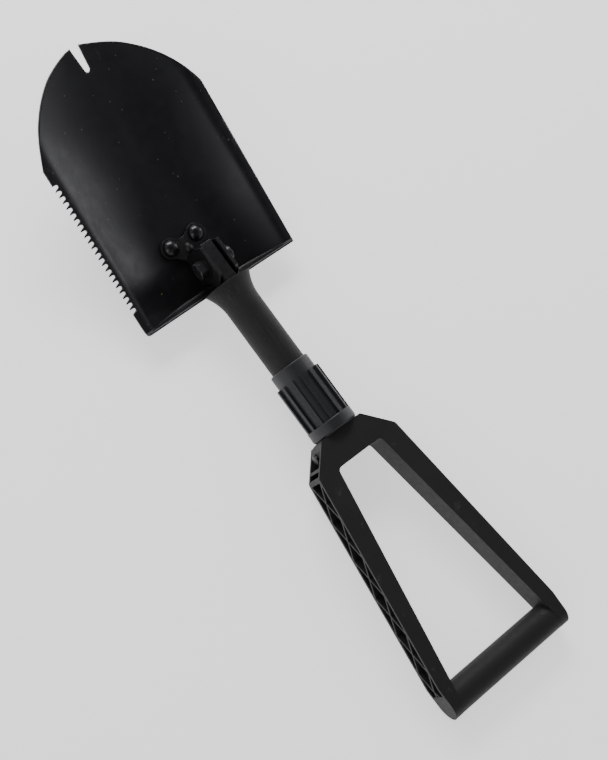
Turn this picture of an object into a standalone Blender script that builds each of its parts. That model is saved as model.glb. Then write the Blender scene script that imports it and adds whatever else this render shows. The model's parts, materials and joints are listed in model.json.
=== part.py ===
"""Folding camp shovel: tri-fold entrenching tool with a D-handle.

The tool lies open on its back: +Y towards the blade's tip, +X across, +Z up out of the dish.
The shaft's axis runs along Y at height AXIS_Z, and the origin is under the middle of the tool.
A tension link runs through the tube from the blade's pivot to the handle's pin. The flared
tube slides on it, and the threaded collar jams the tube's mouth against the blade's heel.
"""
import math

import bmesh
import bpy
from mathutils import Matrix, Vector

# ---------------------------------------------------------------- driving dimensions (metres)
LENGTH = 0.603            # tip to grip, open
AXIS_Z = 0.0328           # height of the shaft's axis above the lowest point
GAP = 0.0003              # clearance between pieces that touch

# blade
TIP_Y = LENGTH / 2
HEEL_Y = 0.0842           # distances v along the blade start here, just inside the heel
SHOULDER_Y = 0.2302
HALF_WIDTH = 0.0776       # at the shoulders
HEEL_HALF = 0.0763        # at the heel
SHEET = 0.0020            # sheet thickness
MARGIN_HEEL = -0.0148     # side margins: height at the heel, relative to the axis
MARGIN_RISE = 0.265       # side margins: rise per length
FLAT_HALF = 0.020         # flat bottom of the dish under the bracket
FLAT_NOSE = 0.006         # flat bottom further on
FLAT_END_V = 0.115
WALL_HALF = 0.0695        # where the dish's wall meets the margin
NOSE_V = 0.150            # from here on the wall closes in, along the nose
NOSE_CLOSE = 7.0          # half width lost there, per squared length
BEND = 0.06               # half length of the bend there, as a share of the wall
DISH = 0.02184            # deepest part of the dish below the margins
DISH_V = 0.0966           # distance of the deepest part from the heel
DISH_STRAIGHT = 0.062     # the dish's bottom runs straight this far from the heel
DISH_TIP = 0.0085         # depth at the tip
LIP_UP = 0.0040           # the heel's lip stands this far above the margins
HEEL_BACK = (0.0010, 0.0005)     # how far the heel's outer face lies behind HEEL_Y, and more at the corners
CORNER_R = (0.0020, 0.0070)      # the heel's corners, right and left
LIP_LEAN = 0.34           # how far the lip's foot lies ahead of its top, per rise
NOSE_SIDE = (0.0539, 0.0308)     # points of the nose: x, and distance from the tip
NOSE_KNEE = (0.0336, 0.0128)
NOSE_TOP = (0.0182, 0.0048)
NOSE_LEFT_IN = 0.0013     # the nose's left side is this much flatter
NOTCH_DEPTH = 0.0205
NOTCH_MOUTH = 0.0043      # half width at the edge
NOTCH_END = 0.0026        # radius of the closed end
NOTCH_SHIFT = (0.0004, 0.0018)   # the mouth and the closed end lie this far off the centre line
TEETH = 23
TEETH_START = 0.2175      # first gullet, next to the shoulder
TOOTH_PITCH = 0.00496
TOOTH_DEPTH = 0.0042

# blade hinge
PIVOT_Y = 0.1023
PIVOT_Z = 0.0048          # above the axis
BAR_HALF = 0.0052         # half width of the tongue bar
BAR_TIP_Y = 0.1185
BAR_TOP = 0.0143
BAR_BOTTOM = -0.0080
BAR_TAIL = 0.0085         # top of the bar's tail, inside the tube
LUG = 0.0026              # lug thickness
LUG_RIGHT_GAP = 0.0026    # play between the bar and the right lug
LUG_RADIUS = 0.0180       # the lugs' reach behind and above the pivot
LUG_TOP = 0.0172
LEAF = 0.0026
LEAF_X = -0.0018          # the leaf's middle lies a little to the left
EAR_X = 0.0129            # rivets, from the leaf's middle
EAR_Y = 0.1346
EAR_R = 0.0088
BOLT_R = 0.0040
RIVET_R = 0.0030
RIVET_HEAD_R = 0.0070
RIVET_DOME = 0.0048
BEAD = 0.0034             # spot weld bead on the leaf, half width
NUT_FLATS = 0.0130
NUT = 0.0078              # nut thickness
BOLT_HEAD = 0.0046
WASHER = 0.0010
FIT_PIN_R = 0.0016        # the link's two roll pins

# shaft
MOUTH_Y = 0.0825
MOUTH_HALF = 0.0220
MOUTH_HIGH = 0.0170
TUBE_R = 0.01525
TUBE_WALL = 0.0015
FLARE = 0.0220            # length of the flare behind the mouth
TUBE_END_Y = -0.0235
ROD_R = 0.0050
ROD_REAR_Y = -0.0465
GUIDE_YS = (0.0015, 0.0315)

# collar
COLLAR_FRONT_Y = -0.0004
COLLAR_REAR_Y = -0.0643
COLLAR_BASE_R = 0.0178
COLLAR_R = 0.0206
RIBS = 13
RIB_TURN = 17.1           # degrees from the top to the first rib
RIB_HALF = 0.0013
RIB_FRONT_Y = -0.0125
BAND_Y = -0.0545          # where the ribs end and the rear band starts

# handle
HEAD_Y = -0.0647
HEAD_HALF = 0.0202
KINK_Y = -0.0874
KINK_HALF = 0.0406
OPEN_TOP_Y = -0.0900
OPEN_TOP_HALF = 0.0225
OPEN_END_Y = -0.2730
OPEN_END_HALF = 0.0514
ARM_END_HALF = 0.0636
GRIP_HALF = 0.0634
FACE_TOP = 0.0134         # handle's front face, above the axis
FACE_BACK = -0.0158       # handle's back face at the head, below the axis
GRIP_R = 0.0131
GRIP_Y = -LENGTH / 2 + GRIP_R
FLANGE = 0.0030
WEB = 0.0036
RIB = 0.0020              # lattice: rib thickness
CROSSINGS = 6             # ribs that cross along one arm
LATTICE_PITCH = 0.0338
LATTICE_START = 0.0029    # from the kink
LATTICE_END_Y = -0.2797
PIN_Y = -0.0746
PIN_Z = -0.0065
PIN_R = 0.0035
HUB_R = 0.0098            # the hub's back is round about the pin
POCKET_HALF = 0.0212      # room for the collar when the handle is folded
SLOT_HALF = 0.0053        # room for the link's eye
POCKET_ROOF = 0.0074

PIVOT = Vector((0.0, PIVOT_Y, AXIS_Z + PIVOT_Z))
PIN = Vector((0.0, PIN_Y, AXIS_Z + PIN_Z))
TO_Y = Matrix.Rotation(-math.pi / 2, 4, "X")   # turned axis +Z becomes +Y
TO_X = Matrix.Rotation(math.pi / 2, 4, "Y")    # turned axis +Z becomes +X
# a plan's (x, y) becomes (Y, Z)
SIDEWAYS = Matrix(((0, 0, 1, 0), (1, 0, 0, 0), (0, 1, 0, 0), (0, 0, 0, 1)))

# ---------------------------------------------------------------- scene and materials
for old in list(bpy.data.objects):
    bpy.data.objects.remove(old, do_unlink=True)

parts = bpy.data.collections.new("camp_shovel")
guides = bpy.data.collections.new("cutters")
bpy.context.scene.collection.children.link(parts)
bpy.context.scene.collection.children.link(guides)


def material(name, color, roughness, metallic):
    mat = bpy.data.materials.new(name)
    mat.use_nodes = True
    shader = mat.node_tree.nodes["Principled BSDF"]
    shader.inputs["Base Color"].default_value = (*color, 1.0)
    shader.inputs["Roughness"].default_value = roughness
    shader.inputs["Metallic"].default_value = metallic
    mat.diffuse_color = (*color, 1.0)
    return mat


COAT = material("black_powder_coat", (0.012, 0.012, 0.014), 0.38, 0.0)
BLACKED = material("blackened_steel", (0.02, 0.02, 0.022), 0.35, 1.0)
ANODISED = material("black_anodised", (0.03, 0.03, 0.032), 0.42, 0.6)
STEEL = material("plain_steel", (0.45, 0.45, 0.46), 0.35, 1.0)
BRASS = material("brass", (0.60, 0.42, 0.16), 0.35, 1.0)
COLLAR_PLASTIC = material("collar_plastic", (0.035, 0.038, 0.044), 0.60, 0.0)
NYLON = material("black_nylon", (0.028, 0.028, 0.028), 0.62, 0.0)
RUBBER = material("black_rubber", (0.02, 0.02, 0.02), 0.8, 0.0)


# ---------------------------------------------------------------- building blocks
def place(obj, name, mat, collection=parts):
    """Name an object, give it its material and put it in one collection."""
    obj.name = name
    obj.data.name = name
    if mat:
        obj.data.materials.clear()
        obj.data.materials.append(mat)
    for other in list(obj.users_collection):
        other.objects.unlink(obj)
    collection.objects.link(obj)
    return obj


def from_bmesh(name, bm, mat, collection=parts):
    mesh = bpy.data.meshes.new(name)
    bm.to_mesh(mesh)
    bm.free()
    obj = bpy.data.objects.new(name, mesh)
    collection.objects.link(obj)
    return place(obj, name, mat, collection)


def as_cutter(obj):
    place(obj, obj.name, None, guides)
    obj.hide_render = True
    obj.display_type = "WIRE"
    return obj


def box(name, low, high, mat=None, collection=parts):
    """Axis-aligned block between two corners."""
    bm = bmesh.new()
    size = [h - l for l, h in zip(low, high)]
    centre = [(h + l) / 2 for l, h in zip(low, high)]
    matrix = Matrix.Translation(centre) @ Matrix.Diagonal((*size, 1.0))
    bmesh.ops.create_cube(bm, size=1.0, matrix=matrix)
    return from_bmesh(name, bm, mat, collection)


def cylinder(name, radius, start, end, segments=32, mat=None, collection=parts):
    """Solid cylinder from one point to another."""
    start, end = Vector(start), Vector(end)
    span = end - start
    turn = Vector((0, 0, 1)).rotation_difference(span.normalized()).to_matrix().to_4x4()
    bm = bmesh.new()
    bmesh.ops.create_cone(bm, cap_ends=True, segments=segments, radius1=radius, radius2=radius,
                          depth=span.length, matrix=Matrix.Translation((start + end) / 2) @ turn)
    return from_bmesh(name, bm, mat, collection)


def crosswise(name, radius, centre, half, segments=32, mat=None):
    """Solid cylinder along X, about a point."""
    reach = Vector((half, 0.0, 0.0))
    return cylinder(name, radius, centre - reach, centre + reach, segments, mat)


def turned(name, profile, matrix, mat=None, segments=40, closed=False):
    """Screw a (radius, height) profile round local Z. It runs down the outer side."""
    mesh = bpy.data.meshes.new(name)
    edges = [(i, i + 1) for i in range(len(profile) - 1)]
    if closed:
        edges.append((len(profile) - 1, 0))
    mesh.from_pydata([(r, 0.0, z) for r, z in profile], edges, [])
    obj = bpy.data.objects.new(name, mesh)
    parts.objects.link(obj)
    obj.matrix_world = matrix
    screw = obj.modifiers.new("turn", "SCREW")
    screw.steps = screw.render_steps = segments
    screw.use_merge_vertices = True
    screw.merge_threshold = 0.00001
    screw.use_smooth_shade = True
    return place(obj, name, mat)


def plate(name, loops, thickness, matrix, mat=None):
    """Flat outline with holes: filled 2D curve, extruded both ways, made a welded mesh."""
    curve = bpy.data.curves.new(name, "CURVE")
    curve.dimensions = "2D"
    curve.fill_mode = "BOTH"
    curve.extrude = thickness / 2
    for loop in loops:
        spline = curve.splines.new("POLY")
        spline.points.add(len(loop) - 1)
        for point, (x, y) in zip(spline.points, loop):
            point.co = (x, y, 0.0, 1.0)
        spline.use_cyclic_u = True
    drawn = bpy.data.objects.new(name + "_outline", curve)
    parts.objects.link(drawn)
    drawn.matrix_world = matrix
    bpy.context.view_layer.update()
    solid = drawn.evaluated_get(bpy.context.evaluated_depsgraph_get())
    mesh = bpy.data.meshes.new_from_object(solid)
    bm = bmesh.new()
    bm.from_mesh(mesh)
    bmesh.ops.remove_doubles(bm, verts=bm.verts, dist=0.00001)
    bmesh.ops.recalc_face_normals(bm, faces=bm.faces)
    bm.to_mesh(mesh)
    bm.free()
    obj = bpy.data.objects.new(name, mesh)
    parts.objects.link(obj)
    obj.matrix_world = drawn.matrix_world
    bpy.data.objects.remove(drawn)
    return place(obj, name, mat)


def boolean(target, tool, operation="DIFFERENCE"):
    """Cut, join or trim with another object, which becomes a guide."""
    step = target.modifiers.new(operation.lower(), "BOOLEAN")
    step.operation = operation
    step.solver = "EXACT"
    step.object = as_cutter(tool)
    return target


def merge(name, objects):
    """Several solids that don't meet, as one object."""
    bm = bmesh.new()
    for obj in objects:
        copy = obj.data.copy()
        copy.transform(obj.matrix_basis)
        bm.from_mesh(copy)
        bpy.data.meshes.remove(copy)
        bpy.data.objects.remove(obj)
    return from_bmesh(name, bm, None)


def arc(centre, radius, start, end, steps):
    """Points of an arc, angles in degrees."""
    angles = [math.radians(start + (end - start) * i / steps) for i in range(steps + 1)]
    return [(centre[0] + radius * math.cos(a), centre[1] + radius * math.sin(a)) for a in angles]


def arc_through(a, b, c, steps):
    """Points of the circular arc from a through b to c."""
    ax, ay, bx, by, cx, cy = *a, *b, *c
    d = 2 * (ax * (by - cy) + bx * (cy - ay) + cx * (ay - by))
    sq = [x * x + y * y for x, y in (a, b, c)]
    ux = (sq[0] * (by - cy) + sq[1] * (cy - ay) + sq[2] * (ay - by)) / d
    uy = (sq[0] * (cx - bx) + sq[1] * (ax - cx) + sq[2] * (bx - ax)) / d
    start = math.degrees(math.atan2(ay - uy, ax - ux))
    end = math.degrees(math.atan2(cy - uy, cx - ux))
    return arc((ux, uy), math.dist((ux, uy), a), start, end, steps)


def rounded(corners, steps=5):
    """Closed outline from (x, y, radius) corners, each rounded by an arc."""
    outline = []
    for i, (x, y, radius) in enumerate(corners):
        if radius == 0:
            outline.append((x, y))
            continue
        here = Vector((x, y))
        before = (Vector(corners[i - 1][:2]) - here).normalized()
        after = (Vector(corners[(i + 1) % len(corners)][:2]) - here).normalized()
        half = before.angle(after) / 2
        centre = here + (before + after).normalized() * radius / math.sin(half)
        first = here + before * radius / math.tan(half) - centre
        last = here + after * radius / math.tan(half) - centre
        sweep = first.angle_signed(last)
        for step in range(steps + 1):
            outline.append(tuple(centre + Matrix.Rotation(-sweep * step / steps, 2) @ first))
    return outline


def on_axis(y):
    """A point of the shaft's axis."""
    return Vector((0.0, y, AXIS_Z))


def at_height(z):
    return Matrix.Translation((0.0, 0.0, AXIS_Z + z))


# ---------------------------------------------------------------- blade
def dish_depth(v):
    """Depth of the dish's bottom below the margins, at a distance v from the heel."""
    bend = (DISH - DISH_TIP) / (TIP_Y - HEEL_Y - DISH_V) ** 2
    start = max(v, DISH_STRAIGHT)
    depth = DISH - bend * (start - DISH_V) ** 2
    return depth - 2 * bend * (DISH_V - DISH_STRAIGHT) * (start - v)


def flat_half(v):
    """Half width of the dish's flat bottom, which narrows ahead of the bracket."""
    t = min(max((v - DISH_STRAIGHT) / (FLAT_END_V - DISH_STRAIGHT), 0.0), 1.0)
    return FLAT_HALF + (FLAT_NOSE - FLAT_HALF) * t * t * (3 - 2 * t)


def wall_share(x, v):
    """0 on the dish's flat bottom, 1 on the margins: a parabola that bends over to the margin."""
    flat = flat_half(v)
    wall = WALL_HALF - NOSE_CLOSE * max(v - NOSE_V, 0.0) ** 2
    t = max(abs(x) - flat, 0.0) / (wall - flat)
    if t < 1 - BEND:
        return t * t / (1 - BEND * BEND)
    u = min((t - 1 + BEND) / (2 * BEND), 1.0)
    return ((1 - BEND) ** 2 + 4 * BEND * (1 - BEND) * (u - u * u / 2)) / (1 - BEND * BEND)


def heel_y(x):
    """The heel's outer face, slightly bowed."""
    near, bow = HEEL_BACK
    return HEEL_Y - near - bow * (x / HEEL_HALF) ** 2


def sheet_z(x, y):
    """Height of the blade's inside face above the axis."""
    v = y - HEEL_Y
    return MARGIN_HEEL + MARGIN_RISE * v - dish_depth(v) * (1 - wall_share(x, v))


def blade_sheet():
    """Dished sheet with a turned-up lip along the heel: a surface with Solidify."""
    columns = 32
    lip_rows = 4
    rows = 16
    overhang = 0.003
    bm = bmesh.new()
    bmesh.ops.create_grid(bm, x_segments=columns, y_segments=lip_rows + rows, size=0.5)
    for vert in bm.verts:
        x = vert.co.x * 2 * (HALF_WIDTH + overhang)
        row = round((vert.co.y + 0.5) * (lip_rows + rows))
        top_y = heel_y(x) + SHEET * 1.02
        rise = dish_depth(0.0) * (1 - wall_share(x, 0.0)) + LIP_UP
        foot_y = top_y + rise * LIP_LEAN
        if row <= lip_rows:
            turn = math.pi / 2 * row / lip_rows
            y = top_y + (foot_y - top_y) * (1 - math.cos(turn)) ** 0.8
            z = sheet_z(x, foot_y)
            z += (MARGIN_HEEL + LIP_UP - z) * (1 - math.sin(turn)) ** 0.8
        else:
            y = foot_y + (TIP_Y + overhang - foot_y) * (row - lip_rows) / rows
            z = sheet_z(x, y)
        vert.co = (x, y, AXIS_Z + z)
    blade = from_bmesh("blade", bm, COAT)
    wall = blade.modifiers.new("thickness", "SOLIDIFY")
    wall.thickness = SHEET
    wall.offset = -1.0
    wall.use_even_offset = True
    return blade


def side_x(y):
    """Half width of the blade between the heel and the shoulders."""
    return HEEL_HALF + (HALF_WIDTH - HEEL_HALF) * (y - HEEL_Y) / (SHOULDER_Y - HEEL_Y)


def tooth_edge():
    """Left edge from the shoulder to the heel: gullets that lean towards the tip."""
    edge = []
    for tooth in range(TEETH):
        y = TEETH_START - tooth * TOOTH_PITCH
        outer = -side_x(y)
        inner = outer + TOOTH_DEPTH
        edge += [(outer, y), (inner - 0.0012, y + 0.0001), (inner, y - 0.0010)]
        edge += [(inner - 0.0002, y - 0.0024), (outer + 0.0012, y - 0.0034), (outer, y - 0.0042)]
    return edge


def blade_outline():
    """Plan of the blade: heel, right side, arched nose with its notch, toothed left side."""
    side, knee, top = [(x, TIP_Y - y) for x, y in (NOSE_SIDE, NOSE_KNEE, NOSE_TOP)]
    mouth_x, end_x = NOTCH_SHIFT
    mouth = (NOTCH_MOUTH, TIP_Y)
    right = arc_through((HALF_WIDTH, SHOULDER_Y), side, knee, 12) + arc_through(knee, top, mouth, 6)[1:]
    reach = TIP_Y - SHOULDER_Y
    left = [(NOSE_LEFT_IN * math.sin(math.pi * (TIP_Y - y) / reach) - x, y) for x, y in reversed(right)]
    right[-1] = (mouth_x + NOTCH_MOUTH, TIP_Y)
    left[0] = (mouth_x - NOTCH_MOUTH, TIP_Y)
    end_y = TIP_Y - NOTCH_DEPTH + NOTCH_END
    notch = arc((end_x, end_y), NOTCH_END, 2, -182, 8)
    heel = heel_y(HEEL_HALF)
    right_r, left_r = CORNER_R
    right_corner = arc((HEEL_HALF - right_r, heel + right_r), right_r, -90, 0, 3)
    left_corner = arc((-HEEL_HALF + left_r, heel + left_r), left_r, 180, 270, 5)
    behind = [(x, heel - 0.001) for x in (left_r - HEEL_HALF, HEEL_HALF - right_r)]
    return right_corner + right + notch + left + tooth_edge() + left_corner + behind


def make_blade():
    blade = blade_sheet()
    trim = plate("blade_plan", [blade_outline()], 0.2, at_height(0.0))
    boolean(blade, trim, "INTERSECT")
    boolean(blade, merge("rivet_holes", rivet_holes()))


# ---------------------------------------------------------------- blade hinge
LEAF_BACK_Y = HEEL_Y + 0.0115
LEAF_RISE = (sheet_z(0, EAR_Y + EAR_R) - sheet_z(0, LEAF_BACK_Y)) / (EAR_Y + EAR_R - LEAF_BACK_Y)
LEAF_TILT = math.atan(LEAF_RISE)
LEAF_Z = AXIS_Z + sheet_z(0, EAR_Y) + 2 * GAP    # underside of the leaf at the rivets
LUG_OUT_LEFT = -BAR_HALF - GAP - LUG
LUG_OUT_RIGHT = BAR_HALF + LUG_RIGHT_GAP + LUG
ON_LEAF = (Matrix.Translation((0.0, EAR_Y, LEAF_Z)) @ Matrix.Rotation(LEAF_TILT, 4, "X")
           @ Matrix.Translation((0.0, -EAR_Y, 0.0)))


def rivet_holes():
    """Cutters for the rivets, square to the leaf."""
    return [cylinder("rivet_hole", RIVET_R + GAP, ON_LEAF @ Vector((x, EAR_Y, -0.02)),
                     ON_LEAF @ Vector((x, EAR_Y, 0.02)), 20) for x in (LEAF_X - EAR_X, LEAF_X + EAR_X)]


def leaf_outline():
    """Plan of the bracket's leaf: a straight strap that ends in two round ears."""
    neck_y = EAR_Y - 0.0020
    right_ear = arc((LEAF_X + EAR_X, EAR_Y), EAR_R, -80, 128, 14)
    left_ear = [(2 * LEAF_X - x, y) for x, y in reversed(right_ear)]
    valley = [(LEAF_X + x, neck_y + 0.0055) for x in (0.0025, -0.0025)]
    back = [(LUG_OUT_LEFT, neck_y - 0.0135), (LUG_OUT_LEFT, LEAF_BACK_Y)]
    front = [(LUG_OUT_RIGHT, LEAF_BACK_Y), (LUG_OUT_RIGHT, neck_y - 0.0135)]
    return front + right_ear + valley + left_ear + back


def lug_outline():
    """Side view of a lug, as (y, z): round behind the pivot, straight down to the leaf ahead of it."""
    top = AXIS_Z + LUG_TOP
    reach = top - PIVOT.z
    turn = math.degrees(math.asin(reach / LUG_RADIUS))
    back = arc((PIVOT_Y, PIVOT.z), LUG_RADIUS, 180 - turn, 232, 10)
    front = [(PIVOT_Y + LUG_RADIUS * math.cos(math.radians(turn)), top)]
    floor = LEAF_Z + 0.0012
    lean = (PIVOT_Y - LEAF_BACK_Y) * LEAF_RISE
    foot = [(LEAF_BACK_Y, floor - (EAR_Y - LEAF_BACK_Y) * LEAF_RISE),
            (PIVOT_Y + 0.0195, floor - (EAR_Y - PIVOT_Y - 0.0195) * LEAF_RISE)]
    return back + foot + [(PIVOT_Y + 0.0172, PIVOT.z - lean)] + front


def make_bracket():
    raised = ON_LEAF @ Matrix.Translation((0, 0, LEAF / 2))
    bracket = plate("hinge_bracket", [leaf_outline()], LEAF, raised, BLACKED)
    for name, x in (("lug_left", LUG_OUT_LEFT + LUG / 2), ("lug_right", LUG_OUT_RIGHT - LUG / 2)):
        lug = plate(name, [lug_outline()], LUG, Matrix.Translation((x, 0, 0)) @ SIDEWAYS)
        boolean(bracket, lug, "UNION")
    bead_profile = [(0.0, BEAD * 0.7), (BEAD * 0.5, BEAD * 0.6), (BEAD * 0.87, BEAD * 0.35), (BEAD, 0.0),
                    (BEAD, -LEAF / 2), (0.0, -LEAF / 2)]
    stretch = Matrix.Diagonal((1.0, 1.4, 1.0, 1.0))
    on_bead = ON_LEAF @ Matrix.Translation((LEAF_X / 2, EAR_Y - 0.0076, LEAF)) @ stretch
    boolean(bracket, turned("leaf_bead", bead_profile, on_bead, None, 16), "UNION")
    holes = rivet_holes() + [crosswise("bolt_hole", BOLT_R + GAP, PIVOT, 0.03, 24)]
    boolean(bracket, merge("bracket_holes", holes))


PLATE = 0.0018
PLATE_DROP = 2 * GAP + SHEET + GAP + PLATE       # from the leaf's underside to the plate's


def make_backing_plate():
    """Stiffening plate behind the sheet, under the rivets."""
    outline = rounded([(-0.0205, EAR_Y - 0.0100, 0.004), (0.0205, EAR_Y - 0.0100, 0.004),
                       (0.0205, EAR_Y + 0.0080, 0.004), (-0.0205, EAR_Y + 0.0080, 0.004)], 4)
    holes = [arc((x, EAR_Y), RIVET_R + GAP, 0, 342, 19) for x in (LEAF_X - EAR_X, LEAF_X + EAR_X)]
    under = ON_LEAF @ Matrix.Translation((0, 0, PLATE / 2 - PLATE_DROP))
    plate("backing_plate", [outline] + holes, PLATE, under, COAT)


def make_rivets():
    shank = LEAF + PLATE_DROP + 2 * GAP
    dome = [(RIVET_HEAD_R * math.sin(math.radians(a)), shank + RIVET_DOME * math.cos(math.radians(a)))
            for a in range(0, 91, 15)]
    profile = dome + [(RIVET_R, shank), (RIVET_R, 0.0), (RIVET_HEAD_R * 0.85, 0.0),
                      (RIVET_HEAD_R * 0.75, -0.0010), (0.0, -0.0012)]
    for name, x in (("rivet_left", LEAF_X - EAR_X), ("rivet_right", LEAF_X + EAR_X)):
        turned(name, profile, ON_LEAF @ Matrix.Translation((x, EAR_Y, -PLATE_DROP - GAP)), BLACKED, 20)


def hexagon(name, across_flats, thickness, bore, matrix, mat):
    """Hexagon with both faces chamfered and a bore, or none."""
    radius = across_flats / math.sqrt(3)
    nut = cylinder(name, radius, (0, 0, 0), (0, 0, thickness), 6, mat)
    chamfer = 0.0009
    face_r, rim_r = across_flats * 0.48, radius * 1.02
    profile = [(0, thickness), (face_r, thickness), (rim_r, thickness - chamfer), (rim_r, chamfer),
               (face_r, 0), (0, 0)]
    boolean(nut, turned(name + "_crown", profile, Matrix(), None, 30), "INTERSECT")
    if bore:
        boolean(nut, cylinder(name + "_bore", bore, (0, 0, -0.01), (0, 0, thickness + 0.01), 24))
    for obj in [nut] + [step.object for step in nut.modifiers]:
        obj.matrix_world = matrix
    return nut


def ring(name, outer, inner, thickness, matrix, mat, segments=24):
    profile = [(outer, thickness), (outer, 0.0), (inner, 0.0), (inner, thickness)]
    return turned(name, profile, matrix, mat, segments, closed=True)


def on_pivot(x):
    return Matrix.Translation((x, PIVOT.y, PIVOT.z)) @ TO_X


def make_pivot():
    washer_r = 0.0068
    left = LUG_OUT_LEFT - GAP
    right = LUG_OUT_RIGHT + GAP
    ring("nut_washer", washer_r, BOLT_R + GAP, WASHER, on_pivot(left - WASHER), BLACKED)
    ring("bolt_washer", washer_r, BOLT_R + GAP, WASHER, on_pivot(right), BLACKED)
    nut_out = left - WASHER - GAP - NUT
    hexagon("pivot_nut", NUT_FLATS, NUT, BOLT_R + GAP, on_pivot(nut_out), BLACKED)
    head_r = NUT_FLATS / 2
    sunk = 0.0004
    edge = 0.0006
    span = right + WASHER + GAP - nut_out - sunk
    top = span + BOLT_HEAD
    profile = [(0, top), (head_r * 0.8, top - edge / 3), (head_r, top - 2 * edge), (head_r, span),
               (BOLT_R, span), (BOLT_R, edge), (BOLT_R - edge, 0.0), (0, 0)]
    turned("pivot_bolt", profile, on_pivot(nut_out + sunk), BLACKED, 32)


# ---------------------------------------------------------------- tension link
def make_link():
    top, bottom, tail = AXIS_Z + BAR_TOP, AXIS_Z + BAR_BOTTOM, AXIS_Z + BAR_TAIL
    toe = 0.0040      # the lower front corner is cut away to clear the heel's lip
    profile = [(MOUTH_Y - 0.032, bottom), (BAR_TIP_Y - toe, bottom), (BAR_TIP_Y, bottom + toe),
               (BAR_TIP_Y, top), (MOUTH_Y - 0.002, top), (MOUTH_Y - 0.020, tail), (MOUTH_Y - 0.032, tail)]
    bar = plate("tongue_bar", [profile], 2 * BAR_HALF, SIDEWAYS, BLACKED)
    bevel = bar.modifiers.new("edges", "BEVEL")
    bevel.width = 0.0006
    bevel.segments = 1
    bevel.limit_method = "ANGLE"
    bush_r = BOLT_R + GAP + 0.0014
    boolean(bar, crosswise("bush_hole", bush_r + GAP, PIVOT, 0.03))
    socket_y = MOUTH_Y - 0.032
    spigot = ROD_R * 0.8
    shoulder = 0.018
    bar_socket = cylinder("rod_socket", spigot + GAP, on_axis(socket_y - 0.01), on_axis(socket_y + shoulder))
    boolean(bar, bar_socket)
    front_pin_y = socket_y + 0.010
    boolean(bar, crosswise("front_pin_hole", FIT_PIN_R + GAP, on_axis(front_pin_y), 0.02, 20))
    ring("pivot_bush", bush_r, BOLT_R + GAP, 2 * BAR_HALF - 2 * GAP, on_pivot(-BAR_HALF + GAP), BRASS)

    rear_y = ROD_REAR_Y
    rod_len = socket_y - rear_y
    profile = [(0, rod_len + shoulder - GAP), (spigot, rod_len + shoulder - GAP), (spigot, rod_len - GAP),
               (ROD_R, rod_len - GAP), (ROD_R, GAP), (spigot, GAP), (spigot, -0.0100), (0, -0.0100)]
    rod = turned("tension_rod", profile, Matrix.Translation((0, rear_y, AXIS_Z)) @ TO_Y, STEEL, 32)
    rear_pin_y = rear_y - 0.0050
    for y in (front_pin_y, rear_pin_y):
        boolean(rod, crosswise("rod_pin_hole", FIT_PIN_R + GAP, on_axis(y), 0.02, 20))
    eye_r = 0.0070
    crosswise("front_roll_pin", FIT_PIN_R, on_axis(front_pin_y), BAR_HALF - GAP, 20, STEEL)
    crosswise("rear_roll_pin", FIT_PIN_R, on_axis(rear_pin_y), eye_r - 0.0004, 20, STEEL)

    eye = cylinder("rear_eye", eye_r, on_axis(rear_y), on_axis(rear_y - 0.0140), 32, BLACKED)
    arm = [(rear_y - 0.0120, AXIS_Z + 0.0046)] + arc((PIN_Y, PIN.z), eye_r, 105, 300, 16) + [
        (rear_y - 0.0120, AXIS_Z - 0.0046)]
    boolean(eye, plate("eye_arm", [arm], 2 * (SLOT_HALF - 0.0008), SIDEWAYS), "UNION")
    eye_socket = cylinder("eye_socket", spigot + GAP, on_axis(rear_y + 0.01), on_axis(rear_y - 0.0100 - GAP))
    boolean(eye, eye_socket)
    boolean(eye, crosswise("eye_pin_hole", FIT_PIN_R + GAP, on_axis(rear_pin_y), 0.02, 20))
    eye_bush = PIN_R + GAP + 0.0011
    boolean(eye, crosswise("eye_hole", eye_bush + GAP, PIN, 0.03))
    half = SLOT_HALF - 0.0008 - GAP
    bush_place = Matrix.Translation((-half, PIN.y, PIN.z)) @ TO_X
    ring("eye_bush", eye_bush, PIN_R + GAP, 2 * half, bush_place, BRASS)


# ---------------------------------------------------------------- shaft
def make_tube():
    """Round tube whose front end flares sideways to an oval mouth."""
    outer, inner = [], []
    steps = 6
    for i in range(steps + 1):
        t = i / steps
        y = MOUTH_Y - FLARE * t
        share = (1 - t) ** 2
        half = TUBE_R + (MOUTH_HALF - TUBE_R) * share
        high = TUBE_R + (MOUTH_HIGH - TUBE_R) * share
        outer.append((y, half, high))
        inner.append((y, half - TUBE_WALL, high - TUBE_WALL))
    outer.append((TUBE_END_Y, TUBE_R, TUBE_R))
    inner.append((TUBE_END_Y, TUBE_R - TUBE_WALL, TUBE_R - TUBE_WALL))
    sections = outer + inner[::-1]
    segments = 36
    bm = bmesh.new()
    rings = []
    for y, half, high in sections:
        angles = [2 * math.pi * k / segments for k in range(segments)]
        rings.append([bm.verts.new((half * math.cos(a), y, AXIS_Z + high * math.sin(a))) for a in angles])
    for i, here in enumerate(rings):
        after = rings[(i + 1) % len(rings)]
        for k in range(segments):
            bm.faces.new((here[k], here[(k + 1) % segments], after[(k + 1) % segments], after[k]))
    bmesh.ops.recalc_face_normals(bm, faces=bm.faces)
    from_bmesh("shaft_tube", bm, ANODISED)


def along_shaft(y):
    return Matrix.Translation((0, y, AXIS_Z)) @ TO_Y


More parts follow.
